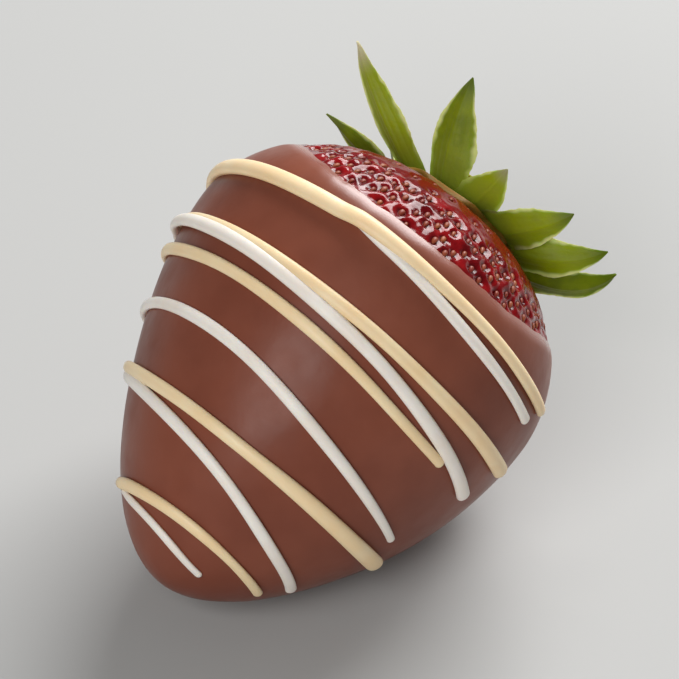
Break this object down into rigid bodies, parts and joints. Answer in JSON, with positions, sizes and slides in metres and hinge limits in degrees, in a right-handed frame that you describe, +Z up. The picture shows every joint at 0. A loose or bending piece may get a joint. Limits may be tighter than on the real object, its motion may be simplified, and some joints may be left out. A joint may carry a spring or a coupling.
{
  "type": "chocolate coated strawberry",
  "caption": "Large strawberry dipped in milk chocolate to its shoulder, drizzled with ivory and yellow icing, with its green leaves left on.",
  "frame": {"origin": "middle of the underside of the bounding box, on the surface that the berry lies on", "axes": "+Z up, +Y from the tip towards the leaves, +X to the right seen from the tip"},
  "size_m": [0.0396, 0.0538, 0.0398],
  "materials": {
    "milk_chocolate": "satin milk chocolate, smooth",
    "ivory_icing": "satin ivory icing, rounded beads",
    "yellow_icing": "satin soft yellow icing, rounded beads",
    "strawberry_flesh": "wet glossy red fruit skin",
    "strawberry_seed": "small yellow-brown seeds",
    "green_leaf": "thin green leaf with pale edges"
  },
  "bodies": {
    "root": {"chocolate_coat": "milk_chocolate", "strawberry": "strawberry_flesh", "calyx": "green_leaf"}
  },
  "joints": []
}
